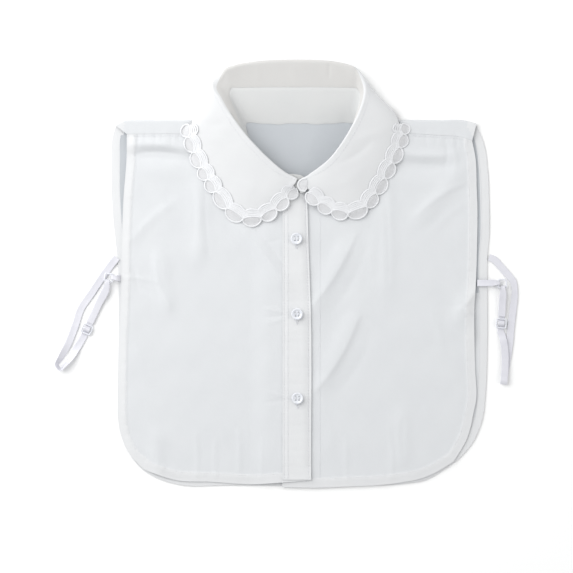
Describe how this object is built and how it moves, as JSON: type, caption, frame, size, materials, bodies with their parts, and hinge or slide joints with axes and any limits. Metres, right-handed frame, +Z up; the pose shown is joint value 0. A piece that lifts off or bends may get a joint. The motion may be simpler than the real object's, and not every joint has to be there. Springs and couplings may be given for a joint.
{
  "type": "detachable false collar",
  "caption": "White half blouse with a rounded lace-trimmed collar, button front and side straps, laid flat.",
  "frame": {"origin": "on the table under the middle of the garment's outline, straps included", "axes": "+X to the viewer's right across the body, +Y up the body towards the collar, +Z up from the table"},
  "size_m": [0.4626, 0.4274, 0.0194],
  "materials": {
    "white_shirting": "plain woven cotton and polyester shirting, matt",
    "organza_lace": "sheer scalloped galloon with a corded rim",
    "satin_tape": "narrow satin tape",
    "white_plastic": "white moulded plastic"
  },
  "bodies": {
    "root": {"back_panel": "white_shirting", "front_left": "white_shirting", "front_right": "white_shirting", "placket": "white_shirting", "collar_leaf": "white_shirting", "collar_stand": "white_shirting", "lace_left": "organza_lace", "lace_back": "organza_lace", "lace_right": "organza_lace", "button_1": "white_plastic", "button_2": "white_plastic", "button_3": "white_plastic", "strap_left": "satin_tape", "strap_right": "satin_tape", "tab_left": "satin_tape", "tab_right": "satin_tape", "ring_left": "white_plastic", "ring_right": "white_plastic", "slider_left": "white_plastic", "slider_right": "white_plastic"}
  },
  "joints": []
}
